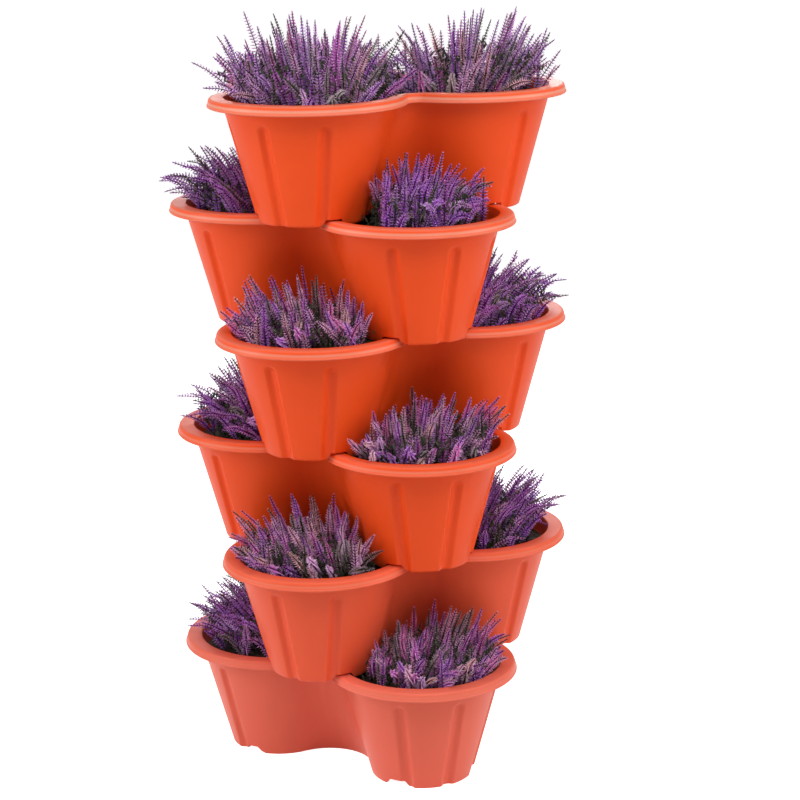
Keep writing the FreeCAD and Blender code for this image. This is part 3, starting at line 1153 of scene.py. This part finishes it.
CAMERA_PLACE = (0.1029, -2.3318, 0.9842)
CAMERA_HEADING = math.radians(1.753)      # from +Y towards -X
CAMERA_PITCH = math.radians(14.381)       # downwards
CAMERA_ROLL = math.radians(-0.831)
CAMERA_LENS, CAMERA_SENSOR = 100.74, 36.0
FLOOR_REACH = 30.0

# Each lamp's bearing from the viewer's direction and height over the horizon, in degrees,
# and its share of the full power
LAMPS = (("left lamp", -72, 18, 0.84), ("right lamp", 75, 18, 0.64),
         ("upper left lamp", -26, 48, 0.38), ("upper right lamp", 27, 48, 0.70),
         ("front lamp", 12, 14, 0.16), ("back lamp", 180, 28, 0.55))


class PLANTER_OT_stage(Operator):
    """Sets up the floor, the light and the camera"""
    bl_idname = "planter.stage"
    bl_label = "Stage"

    def execute(self, context):
        stage = context.scene.planter_stage
        scene = context.scene
        scene.view_settings.view_transform = "Standard"
        self.add_floor(stage)
        self.add_world(scene, stage)
        for name, bearing, height, share in LAMPS:
            self.add_lamp(name, math.radians(bearing), math.radians(height), share, stage)
        camera = bpy.data.objects.new("camera", bpy.data.cameras.new("camera"))
        camera.data.lens = CAMERA_LENS
        camera.data.sensor_width = CAMERA_SENSOR
        camera.matrix_world = (Matrix.Translation(CAMERA_PLACE)
                               @ Matrix.Rotation(CAMERA_HEADING, 4, "Z")
                               @ Matrix.Rotation(math.pi / 2 - CAMERA_PITCH, 4, "X")
                               @ Matrix.Rotation(CAMERA_ROLL, 4, "Z"))
        scene.collection.objects.link(camera)
        scene.camera = camera
        return {"FINISHED"}

    def add_floor(self, stage):
        """Large pale floor that the camera sees as the backdrop's white."""
        far = FLOOR_REACH
        mesh = bpy.data.meshes.new("floor")
        mesh.from_pydata([(-far, -far, 0), (far, -far, 0), (far, far, 0), (-far, far, 0)],
                         [], [(0, 1, 2, 3)])
        material, tree, shader = new_material("studio floor", 0.9, 0.1)
        shader.inputs["Base Color"].default_value = (*stage.floor_colour, 1)
        shader.inputs["Emission Color"].default_value = (1, 1, 1, 1)
        glow = combined(tree, "MULTIPLY", seen_rays(tree), stage.floor_glow)
        tree.links.new(glow, shader.inputs["Emission Strength"])
        mesh.materials.append(material)
        floor = bpy.data.objects.new("floor", mesh)
        bpy.context.scene.collection.objects.link(floor)

    def add_world(self, scene, stage):
        """Even pale surround; the camera sees it white."""
        world = bpy.data.worlds.new("studio")
        world.use_nodes = True
        tree = world.node_tree
        background = tree.nodes["Background"]
        background.inputs["Color"].default_value = (1, 1, 1, 1)
        seen = result(tree, "ShaderNodeMapRange", "Result", {
            "Value": seen_rays(tree), "To Min": stage.world_strength, "To Max": 1.0})
        tree.links.new(seen, background.inputs["Strength"])
        scene.world = world

    def add_lamp(self, name, bearing, height, share, stage):
        """Soft square lamp that faces the middle of the tower."""
        data = bpy.data.lights.new(name, "AREA")
        data.shape = "SQUARE"
        data.size = stage.lamp_size
        data.energy = stage.lamp_power * share
        lamp = bpy.data.objects.new(name, data)
        middle = (Vector(CAD_BOX[0]) + Vector(CAD_BOX[1])) / 2
        way = Vector((math.sin(bearing) * math.cos(height),
                      -math.cos(bearing) * math.cos(height), math.sin(height)))
        lamp.location = middle + way * stage.lamp_distance
        lamp.rotation_euler = (-way).to_track_quat("-Z", "Y").to_euler()
        bpy.context.scene.collection.objects.link(lamp)


class PLANTER_PT_panel(Panel):
    """Buttons for the tower's pieces"""
    bl_label = "Planter tower"
    bl_idname = "PLANTER_PT_panel"
    bl_space_type = "VIEW_3D"
    bl_region_type = "UI"
    bl_category = "Planter"

    def draw(self, context):
        column = self.layout.column(align=True)
        for operator in OPERATORS:
            column.operator(operator.bl_idname)


OPERATORS = (PLANTER_OT_pots, PLANTER_OT_compost, PLANTER_OT_heathers, PLANTER_OT_stage)
SETTINGS = {"planter_pot": PotSettings, "planter_compost": CompostSettings,
            "planter_heather": HeatherSettings, "planter_stage": StageSettings}


def register():
    for group in SETTINGS.values():
        bpy.utils.register_class(group)
    for name, group in SETTINGS.items():
        setattr(bpy.types.Scene, name, PointerProperty(type=group))
    for operator in OPERATORS:
        bpy.utils.register_class(operator)
    bpy.utils.register_class(PLANTER_PT_panel)


def unregister():
    bpy.utils.unregister_class(PLANTER_PT_panel)
    for operator in reversed(OPERATORS):
        bpy.utils.unregister_class(operator)
    for name, group in reversed(SETTINGS.items()):
        delattr(bpy.types.Scene, name)
        bpy.utils.unregister_class(group)


def main():
    register()
    bpy.ops.planter.pots()
    bpy.ops.planter.compost()
    bpy.ops.planter.heathers()
    bpy.ops.planter.stage()


if __name__ == "__main__":
    main()
